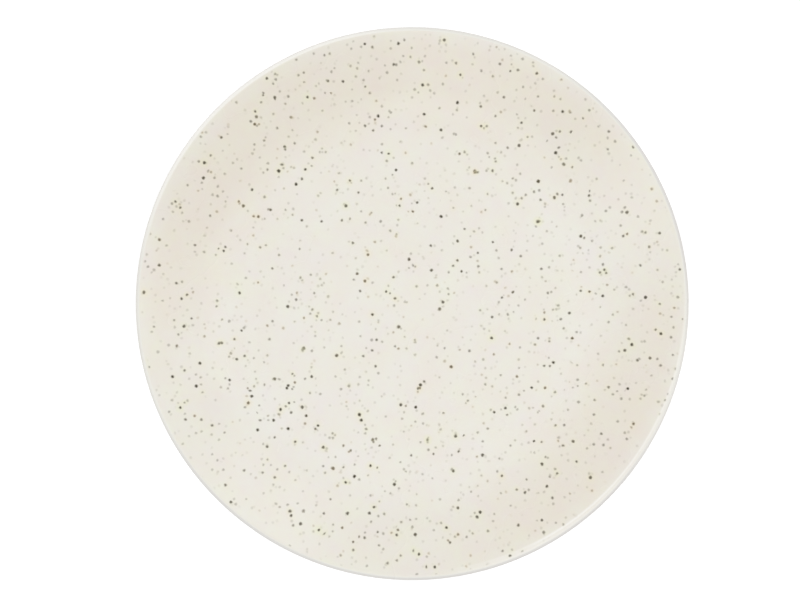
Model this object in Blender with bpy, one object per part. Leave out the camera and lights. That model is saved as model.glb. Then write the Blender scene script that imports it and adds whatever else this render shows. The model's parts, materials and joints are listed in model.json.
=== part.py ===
"""Bread plate: a turned stoneware body and the three glaze coats fused to it. Metres, +Z up, foot on Z = 0."""

import math

import bpy
from mathutils import Vector

for leftover in list(bpy.data.objects):
    bpy.data.objects.remove(leftover)

# Finished sizes, measured over the glaze.
RIM_DIAMETER = 0.165
RIM_HEIGHT = 0.019

# Clay body. The knee is where the lines of the flat well and of the sloping wall would meet.
KNEE_DIAMETER = 0.112
BEND_RADIUS = 0.046
FLOOR_THICKNESS = 0.0034
WALL_THICKNESS = 0.0032
UNDER_BEND_RADIUS = 0.024

# Lip: a tight round over its top, a short upright face and a fuller round underneath.
LIP_RADIUS = 0.00035
LIP_FACE = 0.0007
LIP_UNDER_RADIUS = 0.0014

# Foot ring of bare clay, set in from the knee.
FOOT_SETBACK = 0.009
FOOT_WIDTH = 0.0045
FOOT_HEIGHT = 0.003
FOOT_ROOT_RADIUS = 0.0012
FOOT_EDGE_RADIUS = 0.0006

# Glaze coats. The bond gap keeps each coat clear of the clay and of the next coat.
GLAZE_THICKNESS = 0.0005
BOND_GAP = 0.0003
BARE_MARGIN = 0.0005

# A bend or fillet takes at most this share of the straight run that it eats into.
FILLET_SHARE = 0.8

# Facets round the plate and along each curve of the profile.
TURNS = 72
BEND_STEPS = 5
UNDER_BEND_STEPS = 4
LIP_STEPS = 3
FOOT_STEPS = 3

# Directions in the profile plane, as angles from the outward direction.
OUTWARD = 0
UP = math.pi / 2
INWARD = math.pi
DOWN = -UP

COAT = BOND_GAP + GLAZE_THICKNESS


def heading(angle):
    return Vector((math.cos(angle), math.sin(angle)))


def arc(centre, radius, start, end, steps, hollow=False):
    """Stations along an arc: each is a point and the direction out of the clay there."""
    stations = []
    for step in range(steps + 1):
        spoke = heading(start + (end - start) * step / steps)
        stations.append((centre + spoke * radius, -spoke if hollow else spoke))
    return stations


def flat(radius, height, side):
    """One station on a level face, which looks up or down."""
    return [(Vector((radius, height)), heading(side))]


def lifted(stations, distance):
    return [point + out * distance for point, out in stations]


# Wall: from the knee its upper face climbs at the slope that just touches the round of the lip's top.
well_height = FOOT_HEIGHT + FLOOR_THICKNESS
knee = Vector((KNEE_DIAMETER / 2, well_height))
lip_inset = COAT + LIP_RADIUS
lip_centre = Vector((RIM_DIAMETER / 2 - lip_inset, RIM_HEIGHT - lip_inset))
reach = lip_centre - knee
wall_slope = math.atan2(reach.y, reach.x) + math.asin(LIP_RADIUS / reach.length)
wall_length = math.sqrt(reach.length**2 - LIP_RADIUS**2)
lip_start = wall_slope + UP

# Face of the clay: flat well, bend, wall, and the lip's round as far as its top.
bend_run = min(BEND_RADIUS * math.tan(wall_slope / 2), FILLET_SHARE * wall_length, FILLET_SHARE * knee.x)
bend_radius = bend_run / math.tan(wall_slope / 2)
bend_centre = Vector((knee.x - bend_run, well_height + bend_radius))
face = flat(0, well_height, UP)
face += arc(bend_centre, bend_radius, DOWN, DOWN + wall_slope, BEND_STEPS, hollow=True)
face += arc(lip_centre, LIP_RADIUS, lip_start, UP, LIP_STEPS)

# Foot ring: its flanks, and where each coat stops short of its roots.
foot_outer = knee.x - FOOT_SETBACK
foot_inner = foot_outer - FOOT_WIDTH
foot_edge = min(FOOT_EDGE_RADIUS, FILLET_SHARE * FOOT_WIDTH / 2, FILLET_SHARE * FOOT_HEIGHT / 2)
foot_root = min(FOOT_ROOT_RADIUS, FILLET_SHARE * (FOOT_HEIGHT - foot_edge))
back_edge = foot_outer + foot_root + BARE_MARGIN
base_edge = foot_inner - foot_root - BARE_MARGIN

# Back of the clay: from the lip's top over its edge, down the outer side, and in along the flat underside.
under_knee_x = knee.x + (WALL_THICKNESS - FLOOR_THICKNESS * math.cos(wall_slope)) / math.sin(wall_slope)
lip_under_centre = Vector((RIM_DIAMETER / 2 - COAT - LIP_UNDER_RADIUS, lip_centre.y - LIP_FACE))
under_reach = lip_under_centre - Vector((under_knee_x, FOOT_HEIGHT))
under_slope = math.atan2(under_reach.y, under_reach.x) - math.asin(LIP_UNDER_RADIUS / under_reach.length)
under_run = min(UNDER_BEND_RADIUS * math.tan(under_slope / 2), FILLET_SHARE * (under_knee_x - back_edge))
under_radius = under_run / math.tan(under_slope / 2)
under_centre = Vector((under_knee_x - under_run, FOOT_HEIGHT + under_radius))
back_start = UP - BOND_GAP / (LIP_RADIUS + BOND_GAP)
outer_side = arc(lip_under_centre, LIP_UNDER_RADIUS, OUTWARD, DOWN + under_slope, LIP_STEPS)
outer_side += arc(under_centre, under_radius, DOWN + under_slope, DOWN, UNDER_BEND_STEPS)
outer_side += flat(back_edge, FOOT_HEIGHT, DOWN)
body_back = arc(lip_centre, LIP_RADIUS, UP, OUTWARD, LIP_STEPS)[1:] + outer_side
back = arc(lip_centre, LIP_RADIUS, back_start, OUTWARD, LIP_STEPS) + outer_side

# Foot ring's outline, from its outer root to its inner root.
root_height = FOOT_HEIGHT - foot_root
foot = arc(Vector((foot_outer + foot_root, root_height)), foot_root, UP, INWARD, FOOT_STEPS, hollow=True)
foot += arc(Vector((foot_outer - foot_edge, foot_edge)), foot_edge, OUTWARD, DOWN, FOOT_STEPS)
foot += arc(Vector((foot_inner + foot_edge, foot_edge)), foot_edge, DOWN, -INWARD, FOOT_STEPS)
foot += arc(Vector((foot_inner - foot_root, root_height)), foot_root, OUTWARD, UP, FOOT_STEPS, hollow=True)

# Underside of the floor inside the foot, from the axis out.
base = flat(0, FOOT_HEIGHT, DOWN) + flat(base_edge, FOOT_HEIGHT, DOWN)


def fired_finish(name, colour, roughness):
    material = bpy.data.materials.new(name)
    material.use_nodes = True
    shader = material.node_tree.nodes["Principled BSDF"]
    shader.inputs["Base Color"].default_value = (*colour, 1)
    shader.inputs["Roughness"].default_value = roughness
    return material


def turned(name, outline, material, ring=False):
    """Spins an outline about the Z axis, from the top of its outer side down. A ring's outline closes on itself."""
    count = len(outline)
    edges = [(i, i + 1) for i in range(count - 1)]
    if ring:
        edges.append((count - 1, 0))
    mesh = bpy.data.meshes.new(name)
    mesh.from_pydata([(point.x, 0, point.y) for point in outline], edges, [])
    mesh.materials.append(material)
    piece = bpy.data.objects.new(name, mesh)
    bpy.context.collection.objects.link(piece)
    screw = piece.modifiers.new("turn", "SCREW")
    screw.axis = "Z"
    screw.angle = 2 * math.pi
    screw.steps = TURNS
    screw.render_steps = TURNS
    screw.use_smooth_shade = True
    screw.use_merge_vertices = True
    screw.merge_threshold = 0.00001
    return piece


clay = fired_finish("bare_stoneware", (0.60, 0.50, 0.38), 0.85)
speckled_cream = fired_finish("speckled_cream_glaze", (0.80, 0.77, 0.70), 0.25)
back_cream = fired_finish("cream_back_glaze", (0.81, 0.78, 0.71), 0.25)
base_cream = fired_finish("cream_base_glaze", (0.80, 0.77, 0.70), 0.30)

body_outline = lifted(face + body_back + foot + base[::-1], 0)
face_outline = lifted(face, COAT) + lifted(face[::-1], BOND_GAP)
back_outline = lifted(back, COAT) + lifted(back[::-1], BOND_GAP)
base_outline = lifted(base, BOND_GAP) + lifted(base[::-1], COAT)

plate = bpy.data.objects.new("plate", None)
bpy.context.collection.objects.link(plate)
coats_and_clay = [
    turned("stoneware_body", body_outline, clay),
    turned("face_glaze", face_outline, speckled_cream),
    turned("back_glaze", back_outline, back_cream, ring=True),
    turned("base_glaze", base_outline, base_cream),
]
for piece in coats_and_clay:
    piece.parent = plate
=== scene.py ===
# %% [markdown]
# # A speckled bread plate
# This lesson dresses a small stoneware plate. The solids come first: the clay body and its three
# coats of glaze are already packed at their real size, with the foot on Z = 0 and +Z up. Here each of
# them is turned again on a finer wheel, glazed with node materials, lit softly and looked at from
# straight above.

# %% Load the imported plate
import json
import math
from collections import namedtuple

import bmesh
import bpy
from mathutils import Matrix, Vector


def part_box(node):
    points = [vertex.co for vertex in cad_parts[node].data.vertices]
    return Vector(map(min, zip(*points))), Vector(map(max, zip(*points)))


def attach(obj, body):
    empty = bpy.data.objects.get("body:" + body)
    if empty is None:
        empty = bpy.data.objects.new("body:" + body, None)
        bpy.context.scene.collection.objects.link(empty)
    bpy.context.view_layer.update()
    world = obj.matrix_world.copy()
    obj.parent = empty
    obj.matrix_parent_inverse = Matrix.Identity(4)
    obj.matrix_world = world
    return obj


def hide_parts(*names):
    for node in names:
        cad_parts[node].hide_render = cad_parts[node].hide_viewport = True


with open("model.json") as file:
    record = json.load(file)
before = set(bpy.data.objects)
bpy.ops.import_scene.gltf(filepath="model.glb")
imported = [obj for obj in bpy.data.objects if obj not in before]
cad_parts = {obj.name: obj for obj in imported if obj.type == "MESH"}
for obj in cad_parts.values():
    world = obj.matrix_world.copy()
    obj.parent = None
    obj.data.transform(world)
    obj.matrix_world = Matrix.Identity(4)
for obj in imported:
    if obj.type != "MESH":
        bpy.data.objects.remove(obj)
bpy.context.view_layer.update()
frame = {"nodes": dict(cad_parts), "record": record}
print("nodes:", sorted(frame["nodes"]))

# %% [markdown]
# ## Sizes
# The frame already knows how big the plate is, so the outer sizes are read from it: the rim from the
# two coats that meet there, the level of the well from the place where food rests. Only the curves
# that a box can't show are written here, as the potter's template would have them: where the wall
# starts, how softly it bends, how round the lip is.

# %% Read the sizes
MM = 1000  # millimetres in a metre
places = {mount["name"]: Vector(mount["pos_m"]) for mount in frame["record"]["mounts"]}
rim_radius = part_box("back_glaze")[1].x
rim_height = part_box("face_glaze")[1].z
coat = rim_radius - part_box("stoneware_body")[1].x
well_height = places["well_face"].z - coat
base_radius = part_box("base_glaze")[1].x
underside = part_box("base_glaze")[0].z + coat
print(f"rim {2 * rim_radius * MM:.1f} mm across, {rim_height * MM:.1f} mm high, coat {coat * MM:.2f} mm")

# %% The template's own curves
KNEE_RADIUS = 0.056
BEND_RADIUS = 0.046
WALL_THICKNESS = 0.0032
UNDER_BEND_RADIUS = 0.024
LIP_RADIUS = 0.00035
LIP_FACE = 0.0007
LIP_UNDER_RADIUS = 0.0014
FOOT_SETBACK = 0.009
FOOT_WIDTH = 0.0045
FOOT_ROOT_RADIUS = 0.0012
FOOT_EDGE_RADIUS = 0.0006
BARE_MARGIN = 0.0005
foot_outer = KNEE_RADIUS - FOOT_SETBACK
foot_inner = foot_outer - FOOT_WIDTH
print(f"foot ring {2 * foot_outer * MM:.1f} mm across, {FOOT_WIDTH * MM:.1f} mm wide")

# %% [markdown]
# ## The profile
# A plate on the wheel is one outline swung round an axis. The outline is a chain of straight runs and
# arcs, and each station on it keeps two things: its point, and the direction out of the clay. A coat
# of glaze is then the same chain, lifted along those directions, so every coat follows the clay
# exactly. A hand-drawn list of points would also do, but a chain of arcs stays smooth when a size
# changes.

# %% Arcs and lifts
OUTWARD = 0
UP = math.pi / 2
INWARD = math.pi
DOWN = -UP


def heading(angle):
    """The direction at an angle, as a unit vector."""
    return Vector((math.cos(angle), math.sin(angle)))


def arc(centre, radius, start, end, steps, hollow=False):
    """Stations along an arc, each a point and the direction out of the clay."""
    stations = []
    for step in range(steps + 1):
        spoke = heading(start + (end - start) * step / steps)
        stations.append((centre + spoke * radius, -spoke if hollow else spoke))
    return stations


def level(radii, height, side):
    """Stations on a level face that looks up or down."""
    return [(Vector((radius, height)), heading(side)) for radius in radii]


def lifted(stations, distance):
    """The points of some stations, moved out of the clay by a distance."""
    return [point + out * distance for point, out in stations]


# %% [markdown]
# The wall leaves the knee, where the flat well and the slope would meet, and climbs at the slope that
# just touches the tight round of the lip. The face ends on the very top of the lip, where its coat
# meets that of the back. With no step anywhere, the light slides from the well over the wall to the
# lip in one soft sweep.

# %% The face of the plate
WELL_STEPS = 6
BEND_STEPS = 28
WALL_STEPS = 6
LIP_STEPS = 16
knee = Vector((KNEE_RADIUS, well_height))
lip_inset = coat + LIP_RADIUS
lip_centre = Vector((rim_radius - lip_inset, rim_height - lip_inset))
reach = lip_centre - knee
wall_slope = math.atan2(reach.y, reach.x) + math.asin(LIP_RADIUS / reach.length)
wall_length = math.sqrt(reach.length**2 - LIP_RADIUS**2)
lip_start = wall_slope + UP
bend_run = BEND_RADIUS * math.tan(wall_slope / 2)
bend_centre = Vector((knee.x - bend_run, well_height + BEND_RADIUS))
well_radii = [bend_centre.x * step / WELL_STEPS for step in range(WELL_STEPS)]
wall_step = (wall_length - bend_run) / WALL_STEPS
wall_runs = [bend_run + wall_step * step for step in range(1, WALL_STEPS)]
face = level(well_radii, well_height, UP)
face += arc(bend_centre, BEND_RADIUS, DOWN, DOWN + wall_slope, BEND_STEPS, hollow=True)
face += [(knee + heading(wall_slope) * run, heading(lip_start)) for run in wall_runs]
face += arc(lip_centre, LIP_RADIUS, lip_start, UP, LIP_STEPS)
print(f"flat well {2 * bend_centre.x * MM:.1f} mm across")
print(f"wall slope {math.degrees(wall_slope):.1f} degrees")

# %% [markdown]
# The lip's edge is tight above and fuller below, as a finger leaves it when it wipes along the wet
# clay: a small round, a short upright face, then a larger round. From there the outer side runs down
# straight and bends softly into the level underside.

# %% The lip and the outer side
UNDER_STEPS = 20
back_edge = foot_outer + FOOT_ROOT_RADIUS + BARE_MARGIN
floor_thickness = well_height - underside
under_knee = knee.x + (WALL_THICKNESS - floor_thickness * math.cos(wall_slope)) / math.sin(wall_slope)
lip_under = Vector((rim_radius - coat - LIP_UNDER_RADIUS, lip_centre.y - LIP_FACE))
under_reach = lip_under - Vector((under_knee, underside))
under_slope = math.atan2(under_reach.y, under_reach.x) - math.asin(LIP_UNDER_RADIUS / under_reach.length)
under_run = UNDER_BEND_RADIUS * math.tan(under_slope / 2)
under_centre = Vector((under_knee - under_run, underside + UNDER_BEND_RADIUS))
lip = arc(lip_centre, LIP_RADIUS, UP, OUTWARD, LIP_STEPS)
lip += arc(lip_under, LIP_UNDER_RADIUS, OUTWARD, DOWN + under_slope, LIP_STEPS)
outer_side = arc(under_centre, UNDER_BEND_RADIUS, DOWN + under_slope, DOWN, UNDER_STEPS)
lip_across = (lip[-1][0] - face[-LIP_STEPS - 1][0]).dot(heading(DOWN + wall_slope)) + 2 * coat
print(f"lip {lip_across * MM:.1f} mm thick, outer slope {math.degrees(under_slope):.1f} degrees")

# %% [markdown]
# The foot is a low ring with hollow roots and softened edges. The potter wipes the glaze off it, so
# that the plate doesn't stick to the kiln shelf.

# %% The foot ring
ROOT_STEPS = 10
EDGE_STEPS = 8
root_height = underside - FOOT_ROOT_RADIUS
outer_root = Vector((foot_outer + FOOT_ROOT_RADIUS, root_height))
outer_edge = Vector((foot_outer - FOOT_EDGE_RADIUS, FOOT_EDGE_RADIUS))
inner_edge = Vector((foot_inner + FOOT_EDGE_RADIUS, FOOT_EDGE_RADIUS))
inner_root = Vector((foot_inner - FOOT_ROOT_RADIUS, root_height))
foot = arc(outer_root, FOOT_ROOT_RADIUS, UP, INWARD, ROOT_STEPS, hollow=True)
foot += arc(outer_edge, FOOT_EDGE_RADIUS, OUTWARD, DOWN, EDGE_STEPS)
foot += arc(inner_edge, FOOT_EDGE_RADIUS, DOWN, -INWARD, EDGE_STEPS)
foot += arc(inner_root, FOOT_ROOT_RADIUS, OUTWARD, UP, ROOT_STEPS, hollow=True)
print(f"foot outline: {len(foot)} stations")

# %% [markdown]
# Melted glaze doesn't end in a square step. Surface tension draws its edge round, so where a coat
# stops short of the bare foot its outline ends in a quarter of an ellipse that comes down to the
# clay.

# %% Soft edges of the coats
GLAZE_EDGE_RUN = 0.0018
GLAZE_EDGE_STEPS = 12


def melted_edge(end_radius, inward):
    """Points of a coat's rounded edge on the underside, from its full thickness to the clay."""
    points = []
    for step in range(1, GLAZE_EDGE_STEPS + 1):
        turn = UP * step / GLAZE_EDGE_STEPS
        run = GLAZE_EDGE_RUN * (1 - math.sin(turn))
        lift = coat * math.cos(turn)
        points.append(Vector((end_radius + run * inward, underside - lift)))
    return points


# %% Outlines of the four pieces
underside_run = level([back_edge + GLAZE_EDGE_RUN], underside, DOWN)
base_run = level([base_radius - GLAZE_EDGE_RUN, base_radius / 2, 0], underside, DOWN)
body_outline = lifted(face + lip[1:] + outer_side + foot, 0) + lifted(base_run, 0)
face_outline = lifted(face, coat) + lifted(face[::-1], 0)
back_outline = lifted(lip + outer_side + underside_run, coat) + melted_edge(back_edge, 1)
back_outline += lifted((lip + outer_side)[::-1], 0)
base_outline = [Vector((0, underside))] + melted_edge(base_radius, -1)[::-1] + lifted(base_run, coat)
print("stations:", len(body_outline), len(face_outline), len(back_outline), len(base_outline))

# %% [markdown]
# ## The wheel
# Geometry Nodes turn each outline once round the axis, because every part of this plate follows that
# one rule. Curve to Mesh sweeps the outline along a circle. Points on the axis pile up there, so they
# are welded into a pole, and edges sharper than the crease angle stay crisp. A Screw modifier could
# do the same, but here the sizes that someone might change are the tree's named inputs. The result is
# turned into a plain mesh.

# %% Node helpers
def add(tree, kind, values=None, **settings):
    """Adds a node, sets its options, and fills inputs, by name or number, with a value or a link."""
    node = tree.nodes.new(kind)
    for option, value in settings.items():
        setattr(node, option, value)
    for name, value in (values or {}).items():
        if isinstance(value, bpy.types.NodeSocket):
            tree.links.new(value, node.inputs[name])
        else:
            node.inputs[name].default_value = value
    return node


def socket(tree, name, kind, value=None, way="INPUT"):
    """Adds a named socket to a node group, with any default value. Returns its identifier."""
    made = tree.interface.new_socket(name, in_out=way, socket_type=kind)
    if value is not None:
        made.default_value = value
    return made.identifier


# %% The wheel's inputs
WHEEL_FACETS = 512
POLE_WELD = 5e-6
CREASE_ANGLE = math.radians(35)
wheel = bpy.data.node_groups.new("turned on the wheel", "GeometryNodeTree")
wheel_inputs = {
    "Outline": socket(wheel, "Outline", "NodeSocketGeometry"),
    "Facets": socket(wheel, "Facets", "NodeSocketInt", WHEEL_FACETS),
    "Axle": socket(wheel, "Axle", "NodeSocketFloat", rim_radius),
    "Weld": socket(wheel, "Weld", "NodeSocketFloat", POLE_WELD),
    "Crease": socket(wheel, "Crease", "NodeSocketFloat", CREASE_ANGLE),
    "Finish": socket(wheel, "Finish", "NodeSocketMaterial"),
}
socket(wheel, "Piece", "NodeSocketGeometry", way="OUTPUT")
given = wheel.nodes.new("NodeGroupInput").outputs
print("wheel inputs:", list(wheel_inputs))

# %% Sweep the outline and weld the pole
circle = add(
    wheel,
    "GeometryNodeCurvePrimitiveCircle",
    {"Resolution": given["Facets"], "Radius": given["Axle"]},
)
outline = add(wheel, "GeometryNodeMeshToCurve", {"Mesh": given["Outline"]})
swept = add(
    wheel,
    "GeometryNodeCurveToMesh",
    {"Curve": circle.outputs["Curve"], "Profile Curve": outline.outputs["Curve"]},
)
welded = add(
    wheel,
    "GeometryNodeMergeByDistance",
    {"Geometry": swept.outputs["Mesh"], "Distance": given["Weld"]},
)
facet = 2 * math.pi * rim_radius / WHEEL_FACETS
print(f"turned in {WHEEL_FACETS} facets, {facet * MM:.1f} mm wide at the rim")

# %% Shade it, keep the sharp edges and set the finish
smooth = add(
    wheel,
    "GeometryNodeSetShadeSmooth",
    {"Geometry": welded.outputs["Geometry"], "Shade Smooth": True},
    domain="FACE",
)
fold = add(wheel, "GeometryNodeInputMeshEdgeAngle")
sharp = add(
    wheel,
    "FunctionNodeCompare",
    {"A": fold.outputs["Unsigned Angle"], "B": given["Crease"]},
    operation="GREATER_THAN",
)
creased = add(
    wheel,
    "GeometryNodeSetShadeSmooth",
    {"Geometry": smooth.outputs["Geometry"], "Selection": sharp.outputs["Result"], "Shade Smooth": False},
    domain="EDGE",
)
real = add(wheel, "GeometryNodeRealizeInstances", {"Geometry": creased.outputs["Geometry"]})
glazed = add(
    wheel,
    "GeometryNodeSetMaterial",
    {"Geometry": real.outputs["Geometry"], "Material": given["Finish"]},
)
handed_out = wheel.nodes.new("NodeGroupOutput")
wheel.links.new(glazed.outputs["Geometry"], handed_out.inputs["Piece"])
print("wheel tree:", len(wheel.nodes), "nodes")

# %% Turn one piece
CM = 100  # centimetres in a metre


def turned(name, outline_points, finish, ring=False):
    """Turns an outline of radius and height points into a plain, closed mesh piece at the origin."""
    count = len(outline_points)
    edges = [(i, i + 1) for i in range(count - 1)] + [(count - 1, 0)] * ring
    drawn = bpy.data.meshes.new(name + " outline")
    drawn.from_pydata([(p.x - rim_radius, -p.y, 0) for p in outline_points], edges, [])
    template = bpy.data.objects.new(name + " outline", drawn)
    bpy.context.scene.collection.objects.link(template)
    spin = template.modifiers.new("wheel", "NODES")
    spin.node_group = wheel
    spin[wheel_inputs["Finish"]] = finish
    graph = bpy.context.evaluated_depsgraph_get()
    mesh = bpy.data.meshes.new_from_object(template.evaluated_get(graph))
    bpy.data.objects.remove(template)
    shape = bmesh.new()
    shape.from_mesh(mesh)
    bmesh.ops.recalc_face_normals(shape, faces=shape.faces)
    volume = shape.calc_volume(signed=True)
    open_edges = sum(not edge.is_manifold for edge in shape.edges)
    shape.to_mesh(mesh)
    shape.free()
    mesh.name = name
    piece = bpy.data.objects.new(name, mesh)
    bpy.context.scene.collection.objects.link(piece)
    print(f"{name}: {len(mesh.polygons)} faces, {volume * CM**3:.2f} cm3, {open_edges} open edges")
    return piece


# %% [markdown]
# ## Iron specks
# The brown dots are grains of iron that melt through the glaze while it fires. Painted dots would
# need a picture, and scattered meshes would stand proud. Cells of a Voronoi texture give each grain
# its own place and its own random numbers instead: one decides whether the cell holds a grain at all
# and how dark it is, one how large it is, and one its tone and how much it bleeds into the glaze
# round it. The numbers are shaken again by white noise, because the cell's own colour also set the
# place of its point, and the grains would line up in columns. Noise bends the outlines and gathers
# the grains in loose drifts. The group is made once and used for every grade of grain on every coat.

# %% Helpers for shader maths
def sum_of(tree, kind, *terms):
    """A Math node on values or links. Returns its result."""
    return add(tree, "ShaderNodeMath", dict(enumerate(terms)), operation=kind).outputs["Value"]


def vector_of(tree, kind, *terms):
    """A Vector Math node on vectors or links. Returns its vector."""
    return add(tree, "ShaderNodeVectorMath", dict(enumerate(terms)), operation=kind).outputs["Vector"]


def measure_of(tree, kind, *terms):
    """A Vector Math node that measures, such as a length. Returns its number."""
    return add(tree, "ShaderNodeVectorMath", dict(enumerate(terms)), operation=kind).outputs["Value"]


def ramp_of(tree, value, low, high, to_low=0.0, to_high=1.0, smooth=True):
    """Maps a value from one range to another, held at both ends."""
    node = add(
        tree,
        "ShaderNodeMapRange",
        {"Value": value, "From Min": low, "From Max": high, "To Min": to_low, "To Max": to_high},
        interpolation_type="SMOOTHSTEP" if smooth else "LINEAR",
    )
    return node.outputs["Result"]


def mix_of(tree, share, first, second, blend="MIX"):
    """Mixes two colours, given as links or as red, green and blue."""
    SHARE, FIRST, SECOND, MIXED = 0, 6, 7, 2
    colours = [(*c, 1) if isinstance(c, tuple) else c for c in (first, second)]
    node = add(
        tree,
        "ShaderNodeMix",
        {SHARE: share, FIRST: colours[0], SECOND: colours[1]},
        data_type="RGBA",
        blend_type=blend,
    )
    return node.outputs[MIXED]


# %% Noise, and the range that most of it lies in
NOISE_LOW, NOISE_HIGH = 0.3, 0.7
NOISE_MIDDLE = (0.5, 0.5, 0.5)


def noise_of(tree, place, scale, detail=2.0, roughness=0.5):
    """A Noise Texture at a place. Returns its outputs."""
    sizes = {"Scale": scale, "Detail": detail, "Roughness": roughness}
    return add(tree, "ShaderNodeTexNoise", {"Vector": place, **sizes}).outputs


def strayed(tree, place, noise, step):
    """A place moved sideways by up to half a step, as the colours of a noise have it."""
    stray = vector_of(tree, "SUBTRACT", noise["Color"], NOISE_MIDDLE)
    return vector_of(tree, "MULTIPLY_ADD", stray, (step, step, 0.0), place)


# %% The speck group's inputs and outputs
SPECK_SIZES = (
    "Draw",
    "Cells per Metre",
    "Share",
    "Smallest",
    "Largest",
    "Soft Edge",
    "Faintest",
    "Darkest",
    "Bleeds To",
)
specks = bpy.data.node_groups.new("iron specks", "ShaderNodeTree")
socket(specks, "Place", "NodeSocketVector")
for size_name in SPECK_SIZES:
    socket(specks, size_name, "NodeSocketFloat")
for mask_name in ("Speck", "Bleed", "Tone"):
    socket(specks, mask_name, "NodeSocketFloat", way="OUTPUT")
asked = specks.nodes.new("NodeGroupInput").outputs
print("set for each grade of grain:", ", ".join(SPECK_SIZES))

# %% Cells with ragged outlines
DRAW_STEP = (0.731, 0.417, 0.0)
RAGGED_PER_METRE = 1300.0
RAGGED_STEP = 0.0004
drawn_at = vector_of(specks, "MULTIPLY_ADD", asked["Draw"], DRAW_STEP, asked["Place"])
ragged = noise_of(specks, drawn_at, RAGGED_PER_METRE, detail=1.0)
cells = add(
    specks,
    "ShaderNodeTexVoronoi",
    {"Vector": strayed(specks, drawn_at, ragged, RAGGED_STEP), "Scale": asked["Cells per Metre"]},
    voronoi_dimensions="2D",
).outputs
shaken = add(specks, "ShaderNodeTexWhiteNoise", {"Vector": cells["Color"]}, noise_dimensions="3D")
dice = add(specks, "ShaderNodeSeparateColor", {"Color": shaken.outputs["Color"]}).outputs
print(f"a grain's outline strays by up to {RAGGED_STEP / 2 * MM:.1f} mm")

# %% Which cells hold a grain
DRIFTS_PER_METRE = 75.0
DRIFT_LOW, DRIFT_HIGH = 0.35, 0.65
THIN_DRIFT, THICK_DRIFT = 0.75, 1.25
drift = noise_of(specks, cells["Position"], DRIFTS_PER_METRE)["Fac"]
gathered = ramp_of(specks, drift, DRIFT_LOW, DRIFT_HIGH, THIN_DRIFT, THICK_DRIFT, smooth=False)
chance = sum_of(specks, "DIVIDE", dice["Red"], sum_of(specks, "MULTIPLY", asked["Share"], gathered))
held = sum_of(specks, "LESS_THAN", chance, 1.0)
print(f"drifts of grains about {MM / DRIFTS_PER_METRE:.0f} mm apart")

# %% How large a grain is and how dark
span = sum_of(specks, "SUBTRACT", asked["Largest"], asked["Smallest"])
grain = sum_of(specks, "MULTIPLY_ADD", dice["Green"], span, asked["Smallest"])
away = sum_of(specks, "DIVIDE", cells["Distance"], asked["Cells per Metre"])
inner = sum_of(specks, "SUBTRACT", grain, asked["Soft Edge"])
outer = sum_of(specks, "ADD", grain, asked["Soft Edge"])
spot = ramp_of(specks, away, inner, outer, 1.0, 0.0)
range_of_depth = sum_of(specks, "DIVIDE", asked["Darkest"], asked["Faintest"])
depth = sum_of(specks, "MULTIPLY", sum_of(specks, "POWER", range_of_depth, chance), asked["Faintest"])
held_depth = sum_of(specks, "MULTIPLY", held, depth)
shown = sum_of(specks, "MULTIPLY", spot, held_depth)
print("speck group, without its bleed:", len(specks.nodes), "nodes")

# %% How much it bleeds
BLEED_SHUFFLE = 7.0
BLEED_RARITY = 1.6
halo = ramp_of(specks, away, 0.0, asked["Bleeds To"], 1.0, 0.0)
bleed_dice = sum_of(specks, "FRACT", sum_of(specks, "MULTIPLY", dice["Blue"], BLEED_SHUFFLE))
bleeding = sum_of(specks, "POWER", bleed_dice, BLEED_RARITY)
bleed = sum_of(specks, "MULTIPLY", sum_of(specks, "MULTIPLY", halo, bleeding), held_depth)
add(specks, "NodeGroupOutput", {"Speck": shown, "Bleed": bleed, "Tone": dice["Blue"]})
print("speck group:", len(specks.nodes), "nodes")

# %% [markdown]
# ## The glaze's surface
# Fired glaze is almost flat, but not quite: it is gently rippled where it ran, its gloss and colour
# drift in wide clouds, and from close by it is mottled with traces of rose and straw. One flat colour
# would look like plastic. This second group gives those changes to all three coats.

# %% The fired surface's clouds and ripples
CLOUDS_PER_METRE = 42.0
RIPPLES_PER_METRE = 180.0
FINE_DETAIL = 3.0
surface = bpy.data.node_groups.new("fired surface", "ShaderNodeTree")
socket(surface, "Place", "NodeSocketVector")
for gloss_name in ("Shiniest", "Dullest"):
    socket(surface, gloss_name, "NodeSocketFloat")
for mask_name in ("Roughness", "Ripple", "Cloud", "Rose", "Straw"):
    socket(surface, mask_name, "NodeSocketFloat", way="OUTPUT")
told = surface.nodes.new("NodeGroupInput").outputs
clouds = noise_of(surface, told["Place"], CLOUDS_PER_METRE, FINE_DETAIL)["Fac"]
cloud = ramp_of(surface, clouds, NOISE_LOW, NOISE_HIGH)
ripple = noise_of(surface, told["Place"], RIPPLES_PER_METRE)["Fac"]
gloss_span = sum_of(surface, "SUBTRACT", told["Dullest"], told["Shiniest"])
gloss = sum_of(surface, "MULTIPLY_ADD", cloud, gloss_span, told["Shiniest"])
print(f"clouds about {MM / CLOUDS_PER_METRE:.0f} mm apart, ripples {MM / RIPPLES_PER_METRE:.0f} mm")

# %% Its mottles
MOTTLES_PER_METRE = 120.0
MOTTLE_CRISPNESS = 0.75
mottles = noise_of(surface, told["Place"], MOTTLES_PER_METRE, FINE_DETAIL, MOTTLE_CRISPNESS)["Color"]
mottle = add(surface, "ShaderNodeSeparateColor", {"Color": mottles}).outputs
rose = ramp_of(surface, mottle["Red"], NOISE_LOW, NOISE_HIGH, smooth=False)
straw = ramp_of(surface, mottle["Green"], NOISE_LOW, NOISE_HIGH, smooth=False)
add(
    surface,
    "NodeGroupOutput",
    {"Roughness": gloss, "Ripple": ripple, "Cloud": cloud, "Rose": rose, "Straw": straw},
)
print("surface group:", len(surface.nodes), "nodes")

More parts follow.
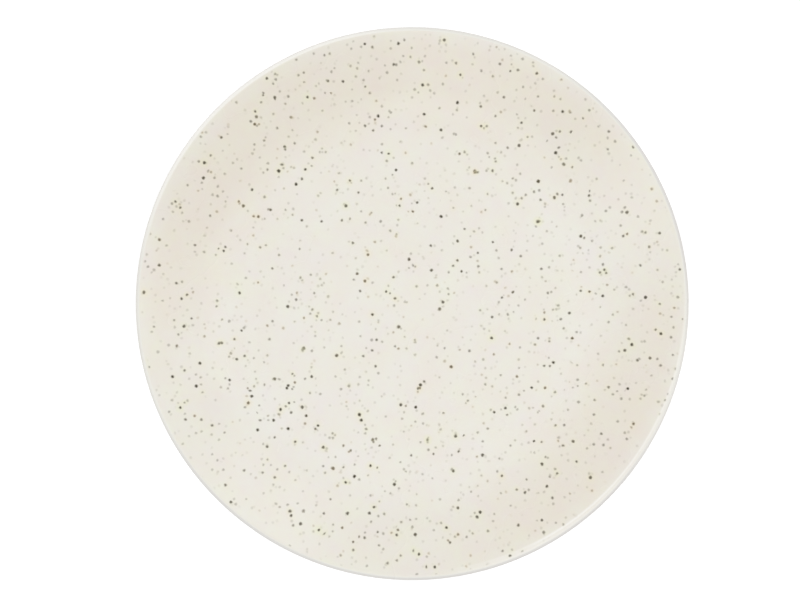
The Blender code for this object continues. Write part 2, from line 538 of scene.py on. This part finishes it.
# %% [markdown]
# ## The bead and painted light on the lip
# After its dip a plate is set on edge to drain, and the glaze that runs down gathers along the lip.
# On this one a whiter bead starts thin at the edge, widens along the lip and stops short, and a
# painted highlight runs along its inner edge. A thin painted highlight lies across from it. Everywhere
# else the outer edge is darkened with painted shade. All of this crosses the seam between the face's
# coat and the back's, so it is a third group, which both finishes use. It measures how far a point is
# from the edge, and compares that with the bead's width at the same azimuth.

# %% Where a point lies on the plate
def flattened(tree, place):
    """A point seen from straight above."""
    return vector_of(tree, "MULTIPLY", place, (1, 1, 0))


def off_axis(tree, place):
    """The distance of a point from the plate's axis."""
    return measure_of(tree, "LENGTH", flattened(tree, place))


def towards(tree, place, azimuth):
    """How far a point lies from the axis towards an azimuth, in degrees."""
    return measure_of(tree, "DOT_PRODUCT", place, heading(math.radians(azimuth)).to_3d())


# %% The bead along the lip
BEAD_STARTS, BEAD_RISEN = math.radians(6), math.radians(-15)
BEAD_CRESTED, BEAD_STOPS, BEAD_GONE = math.radians(-60), math.radians(-66), math.radians(-88)
BEAD_THIN, BEAD_THICK = 0.0016, 0.00265
lip_bead_and_light = bpy.data.node_groups.new("lip bead", "ShaderNodeTree")
socket(lip_bead_and_light, "Place", "NodeSocketVector")
socket(lip_bead_and_light, "Rim Radius", "NodeSocketFloat")
for mask_name in ("Bead_And_Highlight", "Edge_Shade"):
    socket(lip_bead_and_light, mask_name, "NodeSocketFloat", way="OUTPUT")
on_plate = lip_bead_and_light.nodes.new("NodeGroupInput").outputs
axes = add(lip_bead_and_light, "ShaderNodeSeparateXYZ", {"Vector": on_plate["Place"]}).outputs
bearing = sum_of(lip_bead_and_light, "ARCTAN2", axes["Y"], axes["X"])
from_edge = sum_of(lip_bead_and_light, "SUBTRACT", on_plate["Rim Radius"], off_axis(lip_bead_and_light, on_plate["Place"]))
begun = ramp_of(lip_bead_and_light, bearing, BEAD_RISEN, BEAD_STARTS, 1.0, 0.0)
highlight_along = sum_of(lip_bead_and_light, "MULTIPLY", begun, ramp_of(lip_bead_and_light, bearing, BEAD_STOPS, BEAD_CRESTED))
spread = sum_of(lip_bead_and_light, "MULTIPLY", begun, ramp_of(lip_bead_and_light, bearing, BEAD_GONE, BEAD_STOPS))
bead_width = ramp_of(lip_bead_and_light, bearing, BEAD_CRESTED, BEAD_STARTS, BEAD_THICK, BEAD_THIN, smooth=False)
print(f"bead {BEAD_THIN * MM:.1f} mm wide where it starts, {BEAD_THICK * MM:.2f} mm where it stops")

# %% The bead's section
BEAD_SOFT, CREST_HALF = 0.0003, 0.00045
BEAD_SWELL, CREST_HIGHLIGHT = 0.5, 0.58
EDGE_BAND_FULL, EDGE_BAND_ENDS = 0.0005, 0.0013
BEAD_LEAVES, BEAD_LEFT = math.radians(-18), math.radians(-45)
over = sum_of(lip_bead_and_light, "SUBTRACT", from_edge, bead_width)
under_bead = ramp_of(lip_bead_and_light, over, -BEAD_SOFT, BEAD_SOFT, 1.0, 0.0)
off_crest = sum_of(lip_bead_and_light, "ABSOLUTE", sum_of(lip_bead_and_light, "ADD", over, CREST_HALF))
# Painted highlight: a bright line along the bead's inner edge.
crest_highlight = sum_of(lip_bead_and_light, "MULTIPLY", ramp_of(lip_bead_and_light, off_crest, 0.0, CREST_HALF, 1.0, 0.0), highlight_along)
off_edge = ramp_of(lip_bead_and_light, from_edge, EDGE_BAND_FULL, EDGE_BAND_ENDS)
still_at_edge = ramp_of(lip_bead_and_light, bearing, BEAD_LEFT, BEAD_LEAVES)
swelling = ramp_of(lip_bead_and_light, bearing, BEAD_CRESTED, BEAD_STARTS, BEAD_SWELL, 0.0, smooth=False)
swell = sum_of(lip_bead_and_light, "MULTIPLY", under_bead, sum_of(lip_bead_and_light, "MULTIPLY", spread, swelling))
swell = sum_of(lip_bead_and_light, "MULTIPLY", swell, sum_of(lip_bead_and_light, "MAXIMUM", off_edge, still_at_edge))
bead_with_highlight = sum_of(lip_bead_and_light, "MULTIPLY_ADD", crest_highlight, CREST_HIGHLIGHT, swell)
print(f"its crest is {2 * CREST_HALF * MM:.1f} mm across")

# %% The painted highlight across from it
# Painted highlight: a thin white line on the lip's top on the side towards azimuth 130, where the low
# lamp would catch it.
HIGHLIGHT_AZIMUTH, HIGHLIGHT_WIDTH = 130.0, 0.0012
HIGHLIGHT_FADES, HIGHLIGHT_FULL = 0.70, 0.97
HIGHLIGHT_AT_EDGE, HIGHLIGHT_ON_TOP = 0.33, 0.85
straight_out = vector_of(lip_bead_and_light, "NORMALIZE", flattened(lip_bead_and_light, on_plate["Place"]))
facing_across = towards(lip_bead_and_light, straight_out, HIGHLIGHT_AZIMUTH)
on_highlight_side = ramp_of(lip_bead_and_light, facing_across, HIGHLIGHT_FADES, HIGHLIGHT_FULL)
near_edge = ramp_of(lip_bead_and_light, from_edge, HIGHLIGHT_WIDTH - BEAD_SOFT, HIGHLIGHT_WIDTH + BEAD_SOFT, 1.0, 0.0)
past_edge = ramp_of(lip_bead_and_light, from_edge, 0.0, EDGE_BAND_FULL, HIGHLIGHT_AT_EDGE, HIGHLIGHT_ON_TOP)
highlight_across = sum_of(lip_bead_and_light, "MULTIPLY", sum_of(lip_bead_and_light, "MULTIPLY", on_highlight_side, near_edge), past_edge)
print(f"thin bead {HIGHLIGHT_WIDTH * MM:.1f} mm wide round azimuth {HIGHLIGHT_AZIMUTH:.0f}")

# %% The painted shade on the edge elsewhere
COVER_ENDS, COVER_FULL = math.radians(16), math.radians(-8)
CROSS_LIT_ENDS, CROSS_LIT_FULL = 0.0, 0.34
lit_across = ramp_of(lip_bead_and_light, facing_across, CROSS_LIT_ENDS, CROSS_LIT_FULL)
covered_here = sum_of(lip_bead_and_light, "MULTIPLY", ramp_of(lip_bead_and_light, bearing, COVER_ENDS, COVER_FULL), still_at_edge)
shaded_share = sum_of(lip_bead_and_light, "SUBTRACT", 1.0, sum_of(lip_bead_and_light, "MAXIMUM", lit_across, covered_here))
# Painted shade: the outermost half millimetre of the lip is darkened wherever no bead or highlight lies.
painted_edge_shade = sum_of(lip_bead_and_light, "MULTIPLY", shaded_share, sum_of(lip_bead_and_light, "SUBTRACT", 1.0, off_edge))
# The whiter bead with its painted highlight, and the painted highlight across from it.
bead = sum_of(lip_bead_and_light, "MAXIMUM", bead_with_highlight, highlight_across)
add(lip_bead_and_light, "NodeGroupOutput", {"Bead_And_Highlight": bead, "Edge_Shade": painted_edge_shade})
print("bead group:", len(lip_bead_and_light.nodes), "nodes")

# %% [markdown]
# ## Finishes
# Each material keeps its own Principled shader and takes colours and masks from the groups. All of
# them read Object coordinates, which are metres here, so a speck keeps its size on every piece.

# %% A new finish
Finish = namedtuple("Finish", "material tree shader place")


def new_finish(name):
    """A material with its node tree, its shader and the place of a point on the plate."""
    material = bpy.data.materials.new(name)
    material.use_nodes = True
    tree = material.node_tree
    place = tree.nodes.new("ShaderNodeTexCoord").outputs["Object"]
    return Finish(material, tree, tree.nodes["Principled BSDF"], place)


# %% The fired surface in a finish, and its tints in a colour
WARM_CREAM = (0.77, 0.754, 0.667)
CLOUD_SHARE = 0.3
ROSE_TINT = (1.0, 0.95, 1.0)
STRAW_TINT = (1.0, 1.0, 0.945)


def fired_surface(finish, shiniest, dullest):
    """Places the fired surface in a finish, between two roughnesses. Returns its masks."""
    values = {"Place": finish.place, "Shiniest": shiniest, "Dullest": dullest}
    return add(finish.tree, "ShaderNodeGroup", values, node_tree=surface).outputs


def clouded(tree, colour, fired):
    """Lets a colour drift towards a warmer cream."""
    return mix_of(tree, sum_of(tree, "MULTIPLY", fired["Cloud"], CLOUD_SHARE), colour, WARM_CREAM)


def mottled(tree, colour, fired):
    """Tints a colour here and there with a trace of rose and of straw."""
    colour = mix_of(tree, fired["Rose"], colour, ROSE_TINT, blend="MULTIPLY")
    return mix_of(tree, fired["Straw"], colour, STRAW_TINT, blend="MULTIPLY")


# %% The colours of the lip
# The paler lip: partly a thinner coat and partly a painted reflection of the white room.
LIP_PALE_AND_REFLECTION = (0.768, 0.752, 0.708)
# Painted shade: the darker cream of the lip's outer edge.
EDGE_SHADE_CREAM = (0.708, 0.691, 0.661)
# The white of the bead, which also paints its highlights.
BEAD_AND_HIGHLIGHT_WHITE = (0.875, 0.857, 0.81)
LIP_PALES, LIP_PALE = 0.0014, 0.0003


def lip_over(finish, radius, colour):
    """Turns a colour pale at the lip, partly as a painted reflection, darker on the edge as painted
    shade, and white on the bead and its painted highlights.
    """
    tree = finish.tree
    values = {"Place": finish.place, "Rim Radius": rim_radius}
    on_lip = add(tree, "ShaderNodeGroup", values, node_tree=lip_bead_and_light).outputs
    pale = ramp_of(tree, radius, rim_radius - LIP_PALES, rim_radius - LIP_PALE)
    colour = mix_of(tree, pale, colour, LIP_PALE_AND_REFLECTION)
    colour = mix_of(tree, on_lip["Edge_Shade"], colour, EDGE_SHADE_CREAM)
    return mix_of(tree, on_lip["Bead_And_Highlight"], colour, BEAD_AND_HIGHLIGHT_WHITE)


# %% [markdown]
# The face has five grades of grain. The large dark ones are few, and most have a companion close by,
# often paler, where a grain broke as it melted. The rest are smaller, until they hardly show. Each
# grain bleeds into the glaze, so its edge is a stain, mostly olive and now and then rusty, and only
# its core is dark. Round some grains a wide, faint halo shows how far the iron has crept.

# %% The grades of grain
GRADES = {
    "large": (1.0, 240.0, 0.145, 0.00035, 0.00051, 0.00026, 0.89, 1.0, 0.0022),
    "beside": (1.0, 240.0, 0.125, 0.00028, 0.00040, 0.00028, 0.20, 0.92, 0.0017),
    "middling": (2.0, 400.0, 0.155, 0.00030, 0.00041, 0.00028, 0.42, 0.92, 0.0018),
    "small": (3.0, 480.0, 0.186, 0.00027, 0.00038, 0.00030, 0.18, 0.70, 0.0015),
    "faint": (4.0, 520.0, 0.175, 0.00027, 0.00041, 0.00031, 0.070, 0.22, 0.0014),
}
for grade_name, grade_sizes in GRADES.items():
    sizes = dict(zip(SPECK_SIZES, grade_sizes))
    per_cm2 = sizes["Cells per Metre"] ** 2 * sizes["Share"] / CM**2
    print(f"{grade_name}: about {per_cm2:.1f} grains to a square centimetre")

# %% Specks over a colour
IRON_BLACK = (0.032, 0.024, 0.003)
IRON_BROWN = (0.105, 0.085, 0.040)
OLIVE_STAIN = (0.19, 0.166, 0.112)
RUST_STAIN = (0.34, 0.23, 0.10)
OLIVE_BLEED = (0.758, 0.772, 0.53)
RUST_BLEED = (0.80, 0.735, 0.55)
BLEED_SHARE = 0.62
BROWN_FROM, BROWN_FULL = 0.5, 1.0
RUST_FROM, RUST_FULL = 0.86, 0.92
BESIDE_PER_METRE = 35.0
BESIDE_STEP = 0.0105


def speckled(finish, colour, grades, where):
    """Lays specks over a colour, as far as a mask lets them show. Returns the colour and their mask."""
    tree, place = finish.tree, finish.place
    every = 0.0
    swirl = noise_of(tree, place, BESIDE_PER_METRE, detail=0.0)
    beside = strayed(tree, place, swirl, BESIDE_STEP)
    for grade_name in grades:
        sizes = dict(zip(SPECK_SIZES, GRADES[grade_name]))
        read_at = beside if grade_name == "beside" else place
        grade = add(tree, "ShaderNodeGroup", {"Place": read_at, **sizes}, node_tree=specks).outputs
        speck = sum_of(tree, "MULTIPLY", grade["Speck"], where)
        browned = ramp_of(tree, grade["Tone"], BROWN_FROM, BROWN_FULL)
        rusted = ramp_of(tree, grade["Tone"], RUST_FROM, RUST_FULL)
        core = mix_of(tree, browned, IRON_BLACK, IRON_BROWN)
        stain = mix_of(tree, rusted, OLIVE_STAIN, RUST_STAIN)
        crept = mix_of(tree, grade["Tone"], OLIVE_BLEED, RUST_BLEED)
        bled = sum_of(tree, "MULTIPLY", grade["Bleed"], sum_of(tree, "MULTIPLY", where, BLEED_SHARE))
        colour = mix_of(tree, bled, colour, crept)
        colour = mix_of(tree, speck, colour, mix_of(tree, speck, stain, core))
        every = sum_of(tree, "MAXIMUM", every, speck)
    return colour, every


# %% A glaze: colour, specks, gloss and ripple
RIPPLE_STRENGTH = 0.12
RIPPLE_HEIGHT = 0.0003
SPECK_DULLS = 0.12
SPECK_SINKS = -0.3
GLAZE_IOR = 1.5


def glaze(finish, colour, fired, grades, where=1.0):
    """Finishes a glaze's material from its colour, its fired surface and the specks that show in it."""
    tree, shader = finish.tree, finish.shader
    colour, every = speckled(finish, colour, grades, where)
    dull = sum_of(tree, "MULTIPLY_ADD", every, SPECK_DULLS, fired["Roughness"])
    height = sum_of(tree, "MULTIPLY_ADD", every, SPECK_SINKS, fired["Ripple"])
    bump = add(
        tree,
        "ShaderNodeBump",
        {"Strength": RIPPLE_STRENGTH, "Distance": RIPPLE_HEIGHT, "Height": height},
    )
    tree.links.new(colour, shader.inputs["Base Color"])
    tree.links.new(dull, shader.inputs["Roughness"])
    tree.links.new(bump.outputs["Normal"], shader.inputs["Normal"])
    shader.inputs["IOR"].default_value = GLAZE_IOR
    print(f"{finish.material.name}: {len(tree.nodes)} nodes")
    return finish.material


# %% [markdown]
# The speckled coat isn't one colour. It drifts a little between a cool and a warm cream, is painted
# a little paler over the bend as a painted sheen, and is a little yellower on the slope. Towards four
# sides the slope is painted darker and warmer as painted shade. Each of these is a mask on how far a
# point lies towards its side: it covers the slope beyond a chord. A weak one goes all round. A painted
# map could hold these tints too, but masks worked out from the place stay soft at any size. Towards
# the lip the coat thins, turns paler, partly as a painted reflection, and loses its specks.

# %% Where the slope is painted in shade
SHADED_SIDES = {
    "left": (145.0, 0.044, 0.066),
    "far": (110.0, 0.042, 0.064),
    "far right": (74.0, 0.042, 0.064),
    "near right": (323.0, 0.047, 0.069),
}
SHADE_ALL_ROUND = 0.10
ALL_ROUND_STARTS, ALL_ROUND_FULL = 0.058, 0.070
SHADE_FADES, SHADE_GONE = 0.0765, 0.082
face_made = new_finish("speckled cream glaze")
face_tree = face_made.tree
face_radius = off_axis(face_tree, face_made.place)
# Painted shade: the slope is darkened and warmed a little all round, and more towards four sides.
painted_shade = ramp_of(face_tree, face_radius, ALL_ROUND_STARTS, ALL_ROUND_FULL, 0.0, SHADE_ALL_ROUND)
for azimuth, shade_starts, shade_full in SHADED_SIDES.values():
    to_shaded_side = towards(face_tree, face_made.place, azimuth)
    side_shade = ramp_of(face_tree, to_shaded_side, shade_starts, shade_full, smooth=False)
    painted_shade = sum_of(face_tree, "MAXIMUM", painted_shade, side_shade)
off_lip = ramp_of(face_tree, face_radius, SHADE_FADES, SHADE_GONE, 1.0, 0.0, smooth=False)
painted_shade = sum_of(face_tree, "MULTIPLY", painted_shade, off_lip)
print("shaded_sides:", ", ".join(SHADED_SIDES))

# %% The colours of the face
CREAM = (0.79, 0.784, 0.7186)
# Painted sheen: the bend is painted a little paler and cooler, where soft light would glance off it.
SHEEN_CREAM = (0.797, 0.792, 0.7345)
SLOPE_CREAM = (0.79, 0.784, 0.7115)
# Painted shade: the darker, warmer cream that the slope's shaded sides are painted in.
SHADED_CREAM = (0.765, 0.735, 0.6485)
BEND_STARTS, BEND_FULL = 0.0455, 0.0505
SLOPE_STARTS, SLOPE_FULL = 0.0545, 0.0645
SHINIEST, DULLEST = 0.20, 0.30
face_fired = fired_surface(face_made, SHINIEST, DULLEST)
sheen_on_bend = ramp_of(face_tree, face_radius, BEND_STARTS, BEND_FULL)
on_slope = ramp_of(face_tree, face_radius, SLOPE_STARTS, SLOPE_FULL)
face_colour = mix_of(face_tree, sheen_on_bend, CREAM, SHEEN_CREAM)
face_colour = mix_of(face_tree, on_slope, face_colour, SLOPE_CREAM)
face_colour = clouded(face_tree, face_colour, face_fired)
face_colour = mix_of(face_tree, painted_shade, face_colour, SHADED_CREAM)
face_colour = mottled(face_tree, face_colour, face_fired)
face_colour = lip_over(face_made, face_radius, face_colour)
print(f"palest over the bend, {BEND_FULL * MM:.1f} to {SLOPE_STARTS * MM:.1f} mm from the axis")

# %% The speckled face
SPECKS_FADE, SPECKS_GONE = 0.0020, 0.0013
fade_from, fade_to = rim_radius - SPECKS_FADE, rim_radius - SPECKS_GONE
speck_left = ramp_of(face_tree, face_radius, fade_from, fade_to, 1.0, 0.0)
face_finish = glaze(face_made, face_colour, face_fired, tuple(GRADES), speck_left)

# %% [markdown]
# The back has a plainer coat. Only the faintest specks show, and none on the lip. There it takes the
# same colours as the face, from the same function, so the seam between the two coats doesn't show.

# %% The plain back
PLAIN_CREAM = (0.765, 0.762, 0.7015)
LIP_BAND = 0.004
back_made = new_finish("cream back glaze")
back_tree = back_made.tree
back_fired = fired_surface(back_made, SHINIEST, DULLEST)
back_radius = off_axis(back_tree, back_made.place)
back_height = add(back_tree, "ShaderNodeSeparateXYZ", {"Vector": back_made.place}).outputs["Z"]
below_lip = ramp_of(back_tree, back_height, rim_height - LIP_BAND, rim_height - LIP_BAND / 2, 1.0, 0.0)
lip_colour = lip_over(back_made, back_radius, CREAM)
back_colour = clouded(back_tree, PLAIN_CREAM, back_fired)
back_colour = mottled(back_tree, back_colour, back_fired)
back_colour = mix_of(back_tree, below_lip, lip_colour, back_colour)
back_finish = glaze(back_made, back_colour, back_fired, ("faint",), below_lip)

# %% [markdown]
# The disc inside the foot ring is glazed too, a little duller than the rest, because it lay close
# over the kiln shelf. It has no lip and no painted shade, so the plain cream with its clouds, mottles
# and faint specks is enough.

# %% The base inside the foot
BASE_SHINIEST, BASE_DULLEST = 0.24, 0.34
base_made = new_finish("cream base glaze")
base_fired = fired_surface(base_made, BASE_SHINIEST, BASE_DULLEST)
base_colour = clouded(base_made.tree, PLAIN_CREAM, base_fired)
base_colour = mottled(base_made.tree, base_colour, base_fired)
base_finish = glaze(base_made, base_colour, base_fired, ("faint",))

# %% [markdown]
# The foot ring is bare stoneware: matte, sandy and buff, with fine lines left by the trimming tool.
# The plate turned while the tool cut, so the lines follow the distance from the axis alone. Where the
# clay meets the glaze, the melt draws iron to the surface, and the clay is toasted to a thin orange
# line. A picture of clay would have to be wrapped round the ring, and noise in metres fits it as it
# is.

# %% The bare clay
BUFF_DARK = (0.50, 0.41, 0.30)
BUFF_PALE = (0.66, 0.57, 0.45)
TOASTED = (0.55, 0.36, 0.20)
TOAST_LEAST = 0.4
GRIT_PER_METRE = 1800.0
PATCHES_PER_METRE = 60.0
CLAY_SMOOTHEST, CLAY_ROUGHEST = 0.78, 0.92
clay_finish, clay_tree, clay_shader, clay_place = new_finish("bare stoneware")
clay_height = add(clay_tree, "ShaderNodeSeparateXYZ", {"Vector": clay_place}).outputs["Z"]
grit = noise_of(clay_tree, clay_place, GRIT_PER_METRE, detail=4.0)["Fac"]
patches = noise_of(clay_tree, clay_place, PATCHES_PER_METRE, FINE_DETAIL)["Fac"]
bisque = mix_of(clay_tree, ramp_of(clay_tree, grit, NOISE_LOW, NOISE_HIGH), BUFF_DARK, BUFF_PALE)
near_glaze = ramp_of(clay_tree, clay_height, underside - FOOT_ROOT_RADIUS, underside - BARE_MARGIN / 2)
patchy = ramp_of(clay_tree, patches, NOISE_LOW, NOISE_HIGH, TOAST_LEAST, 1.0)
bisque = mix_of(clay_tree, sum_of(clay_tree, "MULTIPLY", near_glaze, patchy), bisque, TOASTED)
clay_roughness = ramp_of(clay_tree, grit, NOISE_LOW, NOISE_HIGH, CLAY_SMOOTHEST, CLAY_ROUGHEST)
clay_tree.links.new(bisque, clay_shader.inputs["Base Color"])
clay_tree.links.new(clay_roughness, clay_shader.inputs["Roughness"])
print(f"grit about {MM / GRIT_PER_METRE:.1f} mm apart")

# %% The clay's grit and trimming lines
TRIM_LINES_PER_METRE = 900.0
TRIM_DEPTH = 1.5
RELIEF_STRENGTH, RELIEF_HEIGHT = 0.5, 0.0001
trim_lines = add(
    clay_tree,
    "ShaderNodeTexNoise",
    {"W": off_axis(clay_tree, clay_place), "Scale": TRIM_LINES_PER_METRE, "Detail": 2.0},
    noise_dimensions="1D",
).outputs["Fac"]
clay_relief = sum_of(clay_tree, "MULTIPLY_ADD", trim_lines, TRIM_DEPTH, grit)
clay_bump = add(
    clay_tree,
    "ShaderNodeBump",
    {"Strength": RELIEF_STRENGTH, "Distance": RELIEF_HEIGHT, "Height": clay_relief},
)
clay_tree.links.new(clay_bump.outputs["Normal"], clay_shader.inputs["Normal"])
print(f"{clay_finish.name}: {len(clay_tree.nodes)} nodes")

# %% [markdown]
# ## The four pieces
# Now the wheel turns each outline with its own finish. Every piece rides on the plate's one body
# and stands for one of the imported solids.

# %% Turn the pieces
plate_body = turned("plate_body", body_outline, clay_finish)
plate_face = turned("plate_face", face_outline, face_finish)
plate_back = turned("plate_back", back_outline, back_finish, ring=True)
plate_base = turned("plate_base", base_outline, base_finish)

# %% Set them on the plate's body
for piece, node_name, slot_name in (
    (plate_body, "stoneware_body", "bare_stoneware"),
    (plate_face, "face_glaze", "speckled_cream_glaze"),
    (plate_back, "back_glaze", "cream_back_glaze"),
    (plate_base, "base_glaze", "cream_base_glaze"),
):
    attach(piece, "root")
    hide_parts(node_name)
    print(f"{piece.name} stands for {node_name}")

# %% [markdown]
# ## Floor and room
# The plate lies on white. A floor that is only painted white would turn grey in the corners, so it
# also glows a little for the camera and for reflections, and still shows the plate's shadow. The room
# is a white sky. As a background it is even, but as a light it is strongest overhead and falls off to
# the horizon, like a large white ceiling, so the outer edge of the lip is drawn as a thin grey line.

# %% Rays that see the background
def seeing(tree):
    """1 for a ray that looks at the background or mirrors it, 0 for one that carries its light."""
    ray = tree.nodes.new("ShaderNodeLightPath").outputs
    direct = sum_of(tree, "MAXIMUM", ray["Is Camera Ray"], ray["Is Glossy Ray"])
    return sum_of(tree, "MAXIMUM", direct, ray["Is Transmission Ray"])


# %% The floor
FLOOR_SIZE = 6.0
FLOOR_WHITE = 0.7
FLOOR_GLOW = 0.5
bpy.ops.mesh.primitive_plane_add(size=FLOOR_SIZE, location=(0, 0, 0))
floor = bpy.context.object
floor.name = "floor"
floor_finish = bpy.data.materials.new("white floor")
floor_finish.use_nodes = True
floor_tree = floor_finish.node_tree
floor_tree.nodes.remove(floor_tree.nodes["Principled BSDF"])
paint = add(floor_tree, "ShaderNodeBsdfDiffuse", {"Color": (FLOOR_WHITE, FLOOR_WHITE, FLOOR_WHITE, 1)})
floor_glow = sum_of(floor_tree, "MULTIPLY", seeing(floor_tree), FLOOR_GLOW)
glow = add(floor_tree, "ShaderNodeEmission", {"Strength": floor_glow})
both = add(floor_tree, "ShaderNodeAddShader", {0: paint.outputs["BSDF"], 1: glow.outputs["Emission"]})
floor_tree.links.new(both.outputs["Shader"], floor_tree.nodes["Material Output"].inputs["Surface"])
floor.data.materials.append(floor_finish)
print(f"floor {FLOOR_SIZE:.0f} m wide")

# %% The room
ZENITH_LIGHT = 1.125
HORIZON_LIGHT = 0.43
world = bpy.data.worlds.new("studio")
bpy.context.scene.world = world
world.use_nodes = True
world_tree = world.node_tree
room = world_tree.nodes["Background"]
room.inputs["Color"].default_value = (1, 1, 1, 1)
sky_direction = world_tree.nodes.new("ShaderNodeTexCoord").outputs["Generated"]
sky_height = add(world_tree, "ShaderNodeSeparateXYZ", {"Vector": sky_direction}).outputs["Z"]
sky_light = ramp_of(world_tree, sky_height, 0.0, 1.0, HORIZON_LIGHT, ZENITH_LIGHT, smooth=False)
sky_seen = seeing(world_tree)
unseen = sum_of(world_tree, "SUBTRACT", 1.0, sky_seen)
room_level = sum_of(world_tree, "MULTIPLY_ADD", unseen, sky_light, sky_seen)
world_tree.links.new(room_level, room.inputs["Strength"])
print(f"room light {HORIZON_LIGHT} at the horizon, {ZENITH_LIGHT} overhead")

# %% [markdown]
# ## Lamps
# Five soft boxes add the rest of the light. A low one grazes the plate from the left and draws the
# bright line on the lip, and four higher ones round the other sides keep the slope even and leave a
# faint sheen on its bend. Together with the room they light the well at a level of about 1, so that a
# colour renders as it is written.

# %% The lamps
LAMP_DISTANCE = 1.2
LAMPS = {
    "low left": (135, 8, 0.50, 0.30, 0.95),
    "far right": (52, 44, 0.50, 0.50, 0.85),
    "right": (5, 56, 0.50, 0.50, 0.75),
    "near": (255, 56, 0.50, 0.50, 0.75),
    "left": (205, 44, 0.50, 0.50, 0.62),
}
for lamp_name, (azimuth, elevation, lamp_width, lamp_height, power) in LAMPS.items():
    lamp = bpy.data.lights.new(lamp_name, "AREA")
    lamp.shape = "RECTANGLE"
    lamp.size = lamp_width
    lamp.size_y = lamp_height
    lamp.energy = power
    holder = bpy.data.objects.new(lamp_name, lamp)
    bpy.context.scene.collection.objects.link(holder)
    across = heading(math.radians(azimuth)) * math.cos(math.radians(elevation))
    aim = Vector((across.x, across.y, math.sin(math.radians(elevation))))
    holder.location = aim * LAMP_DISTANCE
    holder.rotation_euler = aim.to_track_quat("Z", "Y").to_euler()
    holder.visible_camera = False
    print(f"{lamp_name} lamp: {power} W at azimuth {azimuth}, {elevation} degrees up")

# %% [markdown]
# ## Camera
# The photograph looks straight down. A long lens far above keeps the circle true, and a small
# sideways step puts the plate where it lies in the frame.

# %% The camera
FRAME_PIXELS = 800
PLATE_PIXELS = 553.0
RIGHT_PIXELS = 12.2
BELOW_PIXELS = 3.65
LENS = 110.0
lens = bpy.data.cameras.new("camera")
lens.lens = LENS
camera = bpy.data.objects.new("camera", lens)
bpy.context.scene.collection.objects.link(camera)
pixel = 2 * rim_radius / PLATE_PIXELS
camera_height = lip_centre.y + FRAME_PIXELS * pixel * LENS / lens.sensor_width
camera.location = (-RIGHT_PIXELS * pixel, BELOW_PIXELS * pixel, camera_height)
bpy.context.scene.camera = camera
bpy.context.scene.view_settings.view_transform = "Standard"
print(f"camera {camera_height:.3f} m up, {pixel * MM:.3f} mm per pixel")
